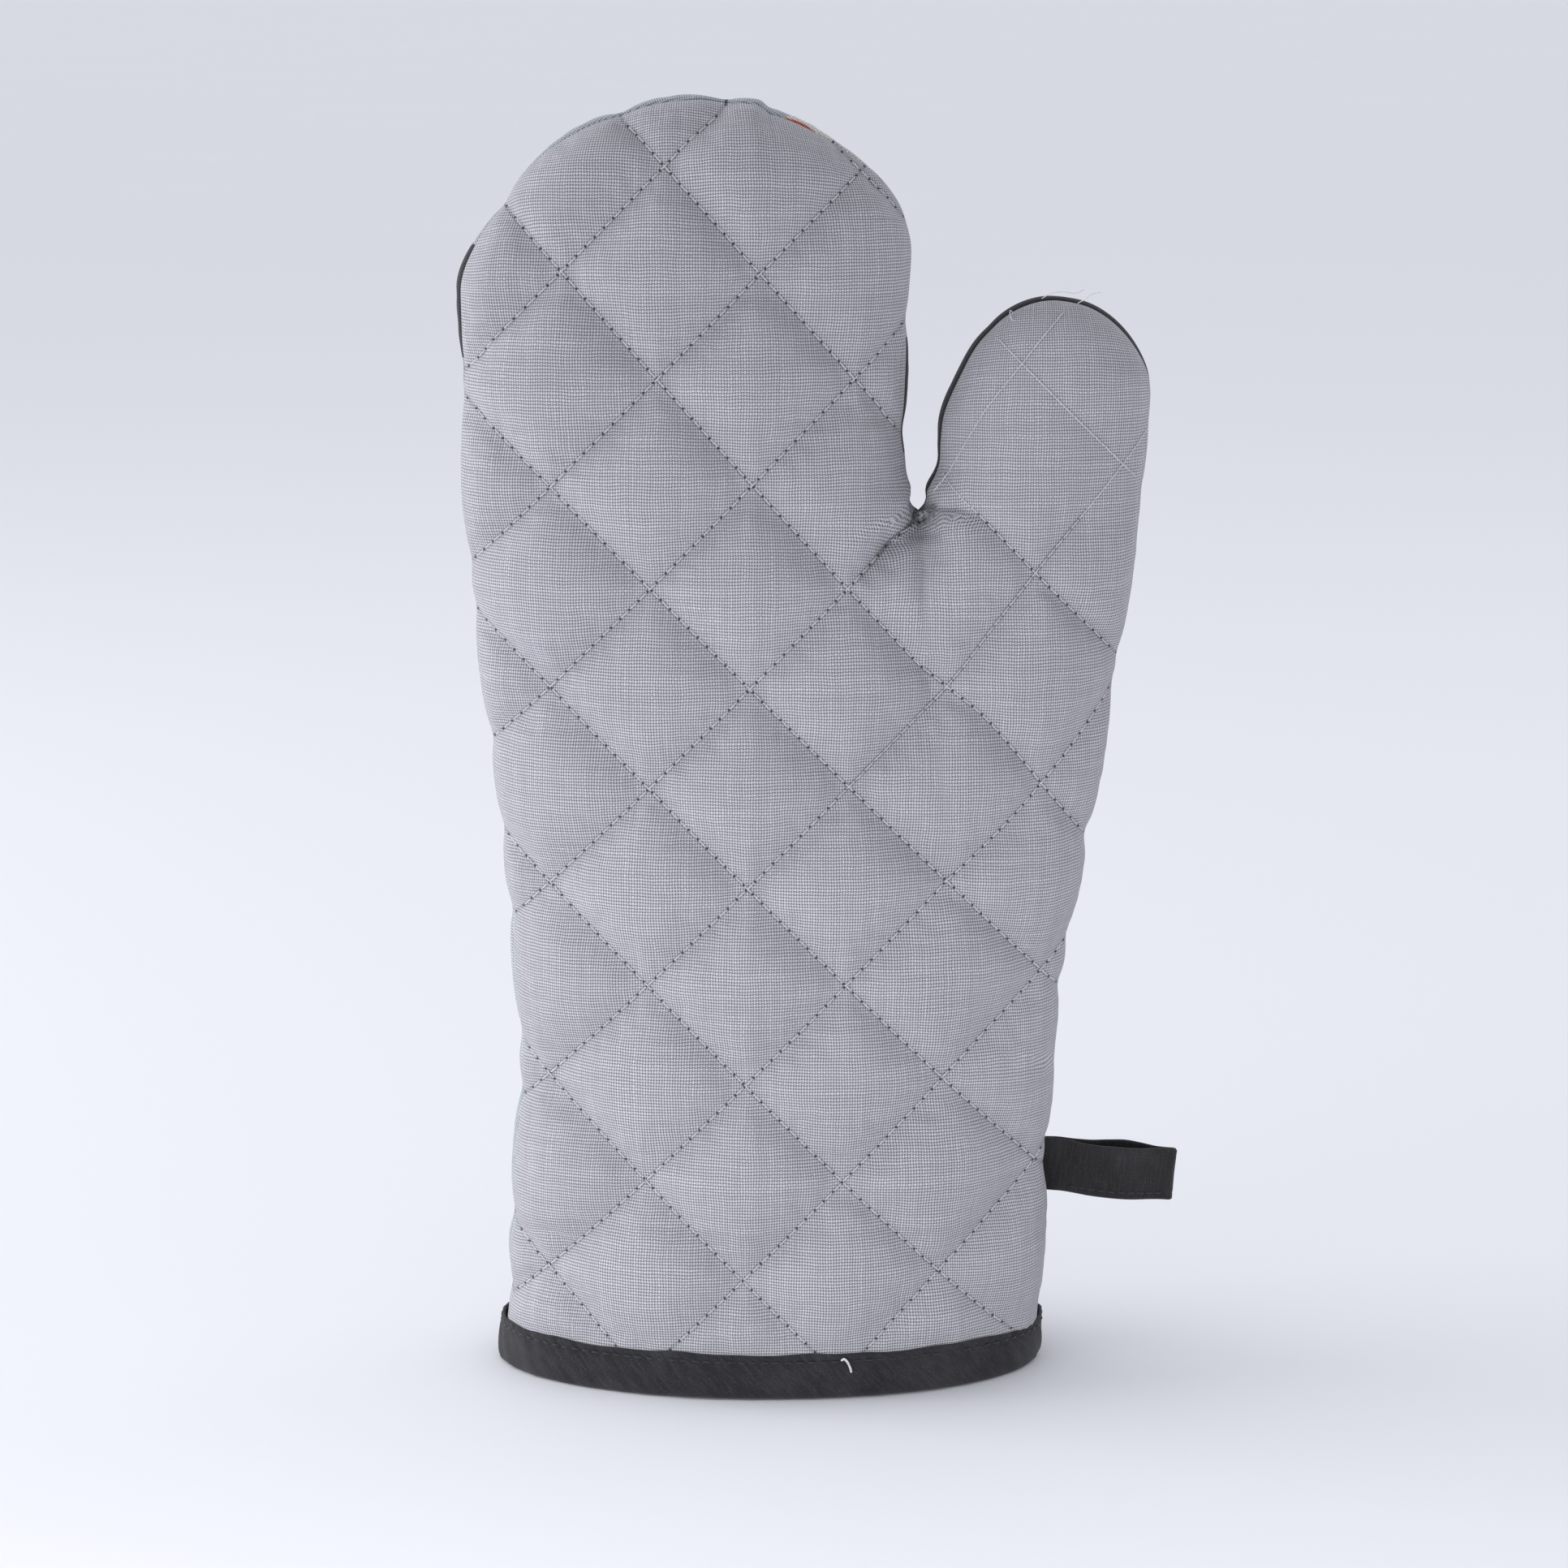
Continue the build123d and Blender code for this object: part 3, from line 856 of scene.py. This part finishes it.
def makeLoop():
    line = loopLine(loop["eye"], 0.6)
    ahead = unit(np.gradient(line, axis=0))
    side = np.stack([ahead[:, 1], -ahead[:, 0]], axis=1)
    t, w = loop["thick"] / 2, loop["width"]
    heights = [0.35, 1.2, 1.9, 2.6, 4.5, 7.0, 9.5, 12.0, w - 0.5]
    section = [(t, h) for h in heights] + [(t * 0.5, w - 0.05), (-t * 0.5, w - 0.05)]
    section += [(-t, h) for h in reversed(heights)] + [(-t * 0.6, 0.0), (0.0, 0.12), (t * 0.6, 0.0)]
    section = np.array(section)
    across = runAlong(np.concatenate([section, section[:1]]))
    run = runAlong(line)
    high = section[:, 1]
    dent = 0.12 * np.exp(-((high - loop["stitchUp"]) / 0.5) ** 2)
    rings = []
    for i, point in enumerate(line):
        s = run[i]
        dented = dent * (0.6 + 0.4 * math.cos(2 * math.pi * s / loop["stitch"]))
        thin = (np.abs(section[:, 0]) - dented) * np.sign(section[:, 0])
        bulge = 0.10 * math.sin(s * 0.55 + 0.5) * np.cos(high * 0.45)
        bulge += 0.07 * math.sin(s * 1.1) * np.sin(high * 0.3)
        wave = 0.16 * math.sin(s * 0.38 + 1.0)
        x = point[0] + side[i, 0] * (thin + bulge)
        y = point[1] + side[i, 1] * (thin + bulge)
        lift = high * (1 + 0.012 * math.sin(s * 0.3)) + wave * (high / w)
        rings.append(loopPlace(np.stack([x, y, lift], axis=1)))
    obj = sweep("hangingLoop", rings, False, run, across)
    count = int(run[-1] / loop["stitch"])
    spans = []
    for i in range(2, count - 2):
        ends = [np.interp([k * loop["stitch"]], run, line[:, c])[0] for k in (i, i + 1) for c in (0, 1)]
        a, b = np.array(ends[:2]), np.array(ends[2:])
        if min(a[0], b[0]) < 3.0:
            continue
        flatWay = (b - a) / np.linalg.norm(b - a)
        out = np.array([flatWay[1], -flatWay[0]])
        for way in (1, -1):
            p = [np.append(q + out * way * (t - 0.12), loop["stitchUp"]) for q in (a, b)]
            spans.append((p[0], p[1], np.append(out * way, 0.0)))
    points, faces = stitches(spans, "binding")
    rows = joinedMesh("loopStitches", [(loopPlace(points), faces)])
    return obj, rows


def softBend(points, count, rounds):
    # a smooth line through a few points
    bend = np.array(points, float)
    t = np.linspace(0, len(bend) - 1, count)
    smooth = np.stack([np.interp(t, np.arange(len(bend)), bend[:, c]) for c in range(3)], axis=1)
    for _ in range(rounds):
        smooth[1:-1] = (smooth[:-2] + smooth[1:-1] * 2 + smooth[2:]) / 4
    return smooth


def makeSeamThread(panel):
    # the thread that joins palm and back, inside the seam, and the few loose ends at the tips
    inside = panel.line + panel.normal * 3.4
    keep = inside[:, 1] > 22
    path = np.stack([inside[:, 0], -panel.shift, inside[:, 1]], axis=1)[keep]
    path[:, 1] += 0.08 * np.where(np.arange(len(path)) % 2 == 0, 1, -1)
    ends = [threadTube(path, 0.22)]
    top = mitt["thumbTop"]
    loose = [[(63, -4.6, top - 4.5), (61.8, -6.0, top - 3.2), (62.0, -6.6, top - 5.4),
              (63.6, -6.4, top - 6.6)],
             [(70, -4.3, top - 0.6), (72, -5.4, top + 0.8), (75, -5.0, top + 1.2), (78.5, -5.6, top + 0.6),
              (80.5, -5.0, top + 1.6)],
             [(79, -4.5, top - 1.8), (81, -5.8, top - 0.6), (82.2, -5.6, top + 0.5), (84.6, -5.0, top + 1.0)],
             [(-22, 0.4, 328.8), (-20.6, -0.8, 330.0), (-18.2, -0.4, 330.2), (-16.4, -1.0, 329.6)]]
    ends += [threadTube(softBend(points, 24, 5), 0.11, 5) for points in loose]
    return joinedMesh("sideSeamThread", ends)


def makeTail():
    # the white end of thread at the binding's stitching: how far it is across, how proud and how high
    across, proud = np.array([19.6, 20.3, 21.2, 21.9, 22.1]), np.array([0.0, 0.7, 0.8, 0.5, 0.25])
    high = np.array([10.6, 11.4, 10.3, 8.6, 7.4])
    line = cuffOval(9.0, 1.5, -np.arccos((across - 1.3) / 72.5))
    bend = np.stack([line[:, 0], line[:, 1] - proud, high], axis=1)
    return joinedMesh("threadTail", [threadTube(softBend(bend, 20, 4), 0.30, 8)])


class Link:
    # a node's output that takes part in sums

    def __init__(self, paint, socket):
        self.paint, self.socket = paint, socket

    def math(self, operation, *values):
        return self.paint.get("ShaderNodeMath", 0, dict(operation=operation), dict(enumerate(values)))

    def __add__(self, other):
        return self.math("ADD", self, other)

    __radd__ = __add__

    def __sub__(self, other):
        return self.math("SUBTRACT", self, other)

    def __rsub__(self, other):
        return self.math("SUBTRACT", other, self)

    def __mul__(self, other):
        return self.math("MULTIPLY", self, other)

    __rmul__ = __mul__

    def __truediv__(self, other):
        return self.math("DIVIDE", self, other)

    def __pow__(self, other):
        return self.math("POWER", self, other)

    def __abs__(self):
        return self.math("ABSOLUTE", self)

    def sine(self):
        return self.math("SINE", self)

    def floor(self):
        return self.math("FLOOR", self)

    def most(self, other):
        return self.math("MAXIMUM", self, other)

    def least(self, other):
        return self.math("MINIMUM", self, other)

    def between(self, low, high):
        # 0 below low, 1 above high, smooth in between
        return self.paint.get("ShaderNodeMapRange", 0, dict(interpolation_type="SMOOTHSTEP"),
                              {0: self, 1: low, 2: high, 3: 0.0, 4: 1.0})


class Paint:
    # the nodes of one material

    def __init__(self, name, tree=None):
        if tree is None:
            self.material = bpy.data.materials.new(name)
            self.material.use_nodes = True
            tree = self.material.node_tree
        self.tree = tree
        self.tree.nodes.clear()

    def get(self, kind, output, settings=None, sockets=None):
        # a node of one type, with its settings first, then the values or links of its sockets
        node = self.tree.nodes.new(kind)
        for key, value in (settings or {}).items():
            setattr(node, key, value)
        for key, value in (sockets or {}).items():
            if isinstance(value, Link):
                self.tree.links.new(value.socket, node.inputs[key])
            else:
                node.inputs[key].default_value = value
        return None if output is None else Link(self, node.outputs[output])

    def place(self):
        return self.get("ShaderNodeTexCoord", "Object")

    def cloth(self, layer):
        return self.get("ShaderNodeUVMap", 0, dict(uv_map=layer))

    def parts(self, vector):
        node = self.get("ShaderNodeSeparateXYZ", 0, None, {0: vector}).socket.node
        return [Link(self, output) for output in node.outputs]

    def vector(self, x, y, z=0.0):
        return self.get("ShaderNodeCombineXYZ", 0, None, {0: x, 1: y, 2: z})

    def noise(self, vector, scale, detail=2.0, rough=0.5):
        sockets = dict(Vector=vector, Scale=scale, Detail=detail, Roughness=rough)
        return self.get("ShaderNodeTexNoise", 0, None, sockets)

    def random(self, value):
        return self.get("ShaderNodeTexWhiteNoise", "Value", dict(noise_dimensions="1D"), dict(W=value))

    def mix(self, share, a, b, how="MIX"):
        return self.get("ShaderNodeMix", 2, dict(data_type="RGBA", blend_type=how), {0: share, 6: a, 7: b})

    def finish(self, colour, rough, height=None, deep=0.0002, strength=1.0, **others):
        sockets = {"Base Color": colour, "Roughness": rough, **others}
        if height is not None:
            bump = dict(Strength=strength, Distance=deep, Height=height)
            sockets["Normal"] = self.get("ShaderNodeBump", 0, None, bump)
        shader = self.get("ShaderNodeBsdfPrincipled", 0, None, sockets)
        self.get("ShaderNodeOutputMaterial", None, None, dict(Surface=shader))
        return self.material


def interlaced(u, v, power, deep):
    # threads that pass over and under each other: which one is on top, and how high it lies
    sineU, sineV = (u * math.pi).sine(), (v * math.pi).sine()
    over = sineU * sineV
    warp = (abs(sineU) ** power) * (over * deep + (1 - deep))
    weft = (abs(sineV) ** power) * (over * -deep + (1 - deep))
    return over, warp.most(weft)


def weave(paint, across, up, wander=0.0035):
    # a plain weave: how high the threads lie, and a value for each thread
    uv = paint.cloth("weave")
    wobble = paint.get("ShaderNodeTexNoise", "Color", None, dict(Vector=uv, Scale=14.0, Detail=1.0))
    onVectors = lambda operation, *values: paint.get(
        "ShaderNodeVectorMath", 0, dict(operation=operation), dict(enumerate(values)))
    centred = onVectors("SUBTRACT", wobble, (0.5, 0.5, 0.5))
    x, y, _ = paint.parts(onVectors("MULTIPLY_ADD", centred, (wander * 2,) * 3, uv))
    u, v = x * (100 / across), y * (100 / up)
    over, height = interlaced(u, v, 0.8, 0.40)
    threadU, threadV = paint.random(u.floor()), paint.random(v.floor() + 0.37)
    # slubs: each thread gets thicker and thinner along its length
    slubU = paint.noise(paint.vector(u.floor() * 7.31, y * 9.0), 1.0, 2.0)
    slubV = paint.noise(paint.vector(x * 9.0, v.floor() * 5.17), 1.0, 2.0)
    onWarp = over.between(-0.25, 0.25)
    each = (threadU * 0.3 + slubU * 0.9) * onWarp + (threadV * 0.3 + slubV * 0.9) * (1 - onWarp)
    return height, each


def rowShadeMasks(paint):
    # how near the stitching is, and its needle holes: masks for the painted shade along the rows and in the
    # holes, and for the bump
    fall, rise, _ = paint.parts(paint.cloth("rows"))
    fall, rise = fall * 100, rise * 100
    wrap = lambda value, period: abs(value.math("WRAP", value, -period / 2, period / 2))
    toFalling, toRising = wrap(fall, quilt["fallingSpacing"]), wrap(rise, quilt["risingSpacing"])
    onFalling = wrap(rise, quilt["stitch"])
    onRising = wrap(fall, quilt["stitch"])
    holeA = 1 - (toFalling * toFalling + onFalling * onFalling).between(0.03, 0.16)
    holeB = 1 - (toRising * toRising + onRising * onRising).between(0.03, 0.16)
    near = 1 - toFalling.least(toRising).between(0.1, 0.75)
    # on the thumb the thread lies loose on the cloth
    x, _, z = paint.parts(paint.place())
    calm = 1 - (x * 1000).between(41, 43) * (z * 1000).between(226, 230)
    return near * calm, holeA.most(holeB) * calm


def foldShade(paint):
    # painted shade: a fine dark line in the depth of each fold, fading out along it
    x, _, z = paint.parts(paint.place())
    x, z = x * 1000, z * 1000
    shade = None
    for fold in folds:
        path = fold["path"]
        for i, ((ax, az), (bx, bz)) in enumerate(zip(path, path[1:])):
            if fold["dark"] == 0:
                continue
            length = (bx - ax) ** 2 + (bz - az) ** 2
            t = ((x - ax) * ((bx - ax) / length) + (z - az) * ((bz - az) / length)).most(0).least(1)
            sideways, upwards = x - ax - t * (bx - ax), z - az - t * (bz - az)
            squared = sideways * sideways + upwards * upwards
            line = (1 - squared.between(0.1, 0.7)) * 0.75 + (1 - squared.between(0.0, 5.0)) * 0.22
            fade = (t * (-1 / (len(path) - 1)) + (1 - i / (len(path) - 1))) * 0.75 + 0.25
            piece = line * fade * fold["dark"]
            shade = piece if shade is None else shade.most(piece)
    return shade


def quiltedCotton(name, ground, holes, printed=None, across=0.65, up=0.77):
    paint = Paint(name)
    height, each = weave(paint, across, up)
    near, hole = rowShadeMasks(paint)
    cloud = paint.noise(paint.place(), 26.0, 3.0)
    tone = printed(paint) if printed else ground
    light = each.between(0.35, 1.15) * 0.30 + cloud.between(0.25, 0.75) * 0.06 + 0.80
    lit = paint.mix(1.0, tone, paint.vector(light, light, light), "MULTIPLY")
    # painted shade: the gaps between the threads are painted darker with the holes colour
    gap = 1 - height.between(0.26, 0.74)
    gapShadeTone = paint.mix(1.0, lit, holes, "MULTIPLY")
    shaded = paint.mix(gap * 0.92, lit, gapShadeTone)
    darkened = lambda share, tone, dark: paint.mix(share, tone, paint.mix(1.0, tone, dark, "MULTIPLY"))
    # painted shade in the folds, on the palm side only
    if not printed:
        shaded = darkened(foldShade(paint), shaded, (0.14, 0.14, 0.15, 1))
    # painted shade along the stitch rows, where the cloth sinks into the crease
    rowShaded = darkened(near * 0.42, shaded, (0.55, 0.55, 0.58, 1))
    # painted shade: the needle holes are painted near black
    colour = paint.mix(hole * 0.95, rowShaded, (0.03, 0.03, 0.035, 1))
    surface = height * (each * 0.3 + 0.7) - hole * 1.5 - near * 1.2
    return paint.finish(colour, 0.9, surface, 0.00022, 0.9,
                        **{"Sheen Weight": 0.12, "Sheen Roughness": 0.6, "Specular IOR Level": 0.25})


def blackTape(name, turn, across, up, pale):
    # black cotton cut on the bias, with a painted highlight: its raised threads are painted a little paler
    paint = Paint(name)
    uv = paint.cloth("weave")
    turned = paint.get("ShaderNodeMapping", 0, None, dict(Vector=uv, Rotation=(0.0, 0.0, turn)))
    x, y, _ = paint.parts(turned)
    u, v = x * (100 / across), y * (100 / up)
    _, height = interlaced(u, v, 0.7, 0.35)
    fleck = paint.noise(paint.vector(x * 30.0, y * 30.0), 7.0, 2.0)
    slub = paint.noise(paint.vector(u.floor() * 3.7, y * 16.0), 1.0, 2.0)
    worn = paint.noise(paint.place(), 60.0, 3.0)
    # painted highlight: the raised threads are paler
    share = height.between(0.45, 1.0) * 0.34 + slub.between(0.4, 0.7) * 0.20
    share = share + fleck.between(0.58, 0.78) * 0.75 + worn.between(0.4, 0.7) * 0.2
    colour = paint.mix(share, (0.0055, 0.0055, 0.007, 1), pale)
    return paint.finish(colour, 0.88, height + fleck * 0.5, 0.00014, 0.8,
                        **{"Sheen Weight": 0.10, "Sheen Roughness": 0.5, "Specular IOR Level": 0.3})


def threadPaint(name, colour, rough, sheen):
    # spun thread: fine twisted plies along any direction
    paint = Paint(name)
    place = paint.place()
    x, y, z = paint.parts(place)
    twist = ((x * 1.0 + z * 0.6 - y * 0.4) * 14000.0).sine() * 0.5 + 0.5
    fuzz = paint.noise(place, 2500.0, 2.0)
    # painted shade: the grooves between the plies are painted darker
    dark = tuple(c * 0.55 for c in colour) + (1,)
    tone = paint.mix((twist * 0.6 + fuzz * 0.5).between(0.1, 0.9), dark, colour + (1,))
    return paint.finish(tone, rough, twist, 0.00004, 0.5,
                        **{"Sheen Weight": sheen, "Specular IOR Level": 0.35})


def plainCotton(name, colour, dark):
    # thin lining cloth
    paint = Paint(name)
    height, each = weave(paint, 0.42, 0.45)
    near, hole = rowShadeMasks(paint)
    cloud = paint.noise(paint.place(), 22.0, 3.0)
    # painted shade in the gaps between the threads and along the rows, with a cloudy tone that differs at
    # random
    tone = paint.mix((1 - height.between(0.15, 0.6)) * 0.55 + cloud * 0.15 + near * 0.10, colour, dark)
    return paint.finish(tone, 0.92, height - hole, 0.00012, 0.7,
                        **{"Sheen Weight": 0.1, "Specular IOR Level": 0.2})


def backPrint(paint):
    # the printed side: a blue-grey ground, a dark band over fingers and thumb, and two plain discs
    x, _, z = paint.parts(paint.place())
    mixed = paint.noise(paint.place(), 90.0, 3.0)
    edge = 0.0002
    lowEdge = z + x * 0.184 - 0.2508 + (x * 38.0).sine() * 0.003
    highEdge = 0.2777 - z - x * 0.263 + (x * 31.0 + 1.0).sine() * 0.003
    stall = lowEdge.between(-edge, edge) * highEdge.between(-edge, edge)
    thumbSide = (x - 0.0385).between(-edge, edge) * (z + x * 0.25 - 0.205).between(-edge, edge)
    dark = stall.most(thumbSide)

    def disc(cx, cz, r):
        squared = ((x - cx) ** 2.0) + ((z - cz) ** 2.0)
        return 1 - squared.between((r - edge) ** 2, (r + edge) ** 2)

    ground = paint.mix(mixed, (0.46, 0.495, 0.54, 1), (0.52, 0.555, 0.60, 1))
    banded = paint.mix(dark, ground, (0.030, 0.032, 0.040, 1))
    pale = paint.mix(disc(0.012, 0.3105, 0.0165), banded, (0.78, 0.77, 0.74, 1))
    return paint.mix(disc(0.004, 0.3130, 0.0125), pale, (0.66, 0.105, 0.045, 1))


# the second colour is the painted shade in the gaps between the threads
palmCotton = quiltedCotton("palmCotton", (0.512, 0.512, 0.556, 1), (0.10, 0.10, 0.115, 1))
backCotton = quiltedCotton("backCotton", None, (0.16, 0.16, 0.18, 1), backPrint)
# the lining's second colour is both its painted shade and its darker random tone
liningCotton = plainCotton("liningCotton", (0.60, 0.59, 0.56, 1), (0.34, 0.33, 0.31, 1))
# the last colour serves both the painted highlight on the raised threads and the pale flecks
biasTape = blackTape("biasTape", math.radians(45), 0.42, 0.42, (0.056, 0.055, 0.068, 1))
loopTape = blackTape("loopTape", 0.0, 0.36, 0.36, (0.052, 0.050, 0.054, 1))
quiltingThread = threadPaint("quiltingThread", (0.64, 0.64, 0.67), 0.6, 0.1)
blackThread = threadPaint("blackThread", (0.022, 0.022, 0.026), 0.6, 0.1)
seamThread = threadPaint("seamThread", (0.72, 0.72, 0.74), 0.6, 0.1)


def fitOut(obj, material, nodes, body="mitt"):
    # the finish of a piece, the CAD nodes that it stands for, and what it moves with
    obj.data.materials.clear()
    obj.data.materials.append(material)
    if nodes:
        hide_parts(*nodes)
    if body:
        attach(obj, body)


palmQuilt, palmSkin = makeQuilt("palmQuilt", -1)
backQuilt, backSkin = makeQuilt("backQuilt", 1)
fitOut(palmQuilt, palmCotton, ["palm_outer_cloth", "palm_wadding"])
fitOut(backQuilt, backCotton, ["back_outer_cloth", "back_wadding"])
print("quilted sides done")

palmLining, palmLiningSkin = makeLining("palmLining", -1)
backLining, backLiningSkin = makeLining("backLining", 1)
for obj, node in ((palmLining, "palm_lining"), (backLining, "back_lining")):
    fitOut(obj, liningCotton, [node])
print("lining done")

for side, skin, liningSkin in (("palm", palmSkin, palmLiningSkin), ("back", backSkin, backLiningSkin)):
    slackRow = 2 if side == "palm" else None
    for direction in ("rising", "falling"):
        slack = slackRow if direction == "rising" else None
        rows = makeRows(side + "Needle" + direction.title(), skin, direction, "needle", slack)
        fitOut(rows, quiltingThread, [side + "_quilting_" + direction])
        rows = makeRows(side + "Bobbin" + direction.title(), liningSkin, direction, "bobbin")
        fitOut(rows, quiltingThread, [side + "_bobbin_" + direction])

seam = makeSeamThread(palmSkin.panel)
fitOut(seam, seamThread, ["side_seam_thread"])
tail = makeTail()
fitOut(tail, seamThread, [])

cuff, cuffRows = makeBinding()
fitOut(cuff, biasTape, ["cuff_binding"])
fitOut(cuffRows, blackThread, ["binding_stitching"])
print("binding done")

hanger, hangerRows = makeLoop()
fitOut(hanger, loopTape, ["hanging_loop"], None)
fitOut(hangerRows, blackThread, ["loop_edge_stitching"], "loop")
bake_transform(hanger)
print("loop done")


# The studio: a pale floor, soft light from all round and a stronger one from the left and behind
studio = dict(
    floorPale=(0.744, 0.753, 0.8, 1.0),
    world=(0.95, 0.96, 1.0, 1),
    front=0.29,
    back=0.93,
    left=0.92,
    right=0.34,
    cameraAt=(0.0051, -1.0, 0.364),
    tilt=11.80,               # how far the camera looks down, in degrees
    lens=90.5,
    film=36,
    # name, place, what it points at, size, power and colour
    lamps=[("keyLeft", (-1.6, 0.15, 0.8), (0, 0, 0.15), (1.0, 1.4), 15.5, (1.0, 0.995, 0.99)),
           ("lowFront", (-0.12, -0.43, 0.05), (-0.03, 0, 0.04), (0.7, 0.08), 1.35, (1, 1, 1)),
           ("backRight", (1.6, 0.7, 0.7), (0, 0, 0.18), (1.0, 1.4), 3, (1, 1, 1))],
)


def floorPaint():
    paint = Paint("paleFloor")
    soft = paint.noise(paint.place(), 1.5, 1.0)
    tone = paint.mix(soft, studio["floorPale"], tuple(min(1.0, c * 1.02) for c in studio["floorPale"]))
    return paint.finish(tone, 0.75, None, **{"Specular IOR Level": 0.2})


def makeFloor():
    # a plain floor that runs on past the end of the view
    bpy.ops.mesh.primitive_plane_add(size=400, location=(0, 0, 0))
    obj = bpy.context.object
    obj.name = "floor"
    obj.data.materials.append(floorPaint())


makeFloor()


def softLight(name, at, toward, size, power, colour):
    lamp = bpy.data.lights.new(name, "AREA")
    lamp.shape = "RECTANGLE"
    lamp.size, lamp.size_y = size
    lamp.energy = power
    lamp.color = colour
    obj = bpy.data.objects.new(name, lamp)
    bpy.context.scene.collection.objects.link(obj)
    obj.location = at
    obj.rotation_euler = (Vector(toward) - Vector(at)).to_track_quat("-Z", "Y").to_euler()


for lampValues in studio["lamps"]:
    softLight(*lampValues)


def lightAllRound():
    # a white room: darkest behind the viewer, brightest to the left and at the back
    world = bpy.data.worlds.new("studio")
    bpy.context.scene.world = world
    world.use_nodes = True
    sky = Paint("sky", world.node_tree)
    x, y, _ = sky.parts(sky.get("ShaderNodeTexCoord", "Generated"))
    strength = studio["front"] + (y + 0.35).between(-0.9, 0.75) * (studio["back"] - studio["front"])
    strength = strength + (x * -1.0).between(0.25, 1.0) * studio["left"]
    strength = strength + x.between(0.35, 1.0) * studio["right"]
    light = sky.get("ShaderNodeBackground", 0, None, dict(Color=studio["world"], Strength=strength))
    sky.get("ShaderNodeOutputWorld", None, None, dict(Surface=light))


lightAllRound()

eye = bpy.data.cameras.new("camera")
eye.lens = studio["lens"]
eye.sensor_width = studio["film"]
eye.clip_end = 500
eyeObject = bpy.data.objects.new("camera", eye)
bpy.context.scene.collection.objects.link(eyeObject)
eyeObject.location = studio["cameraAt"]
eyeObject.rotation_euler = (math.radians(90 - studio["tilt"]), 0, 0)
bpy.context.scene.camera = eyeObject
bpy.context.scene.view_settings.view_transform = "Standard"
bpy.context.scene.view_settings.look = "None"
print("studio done")

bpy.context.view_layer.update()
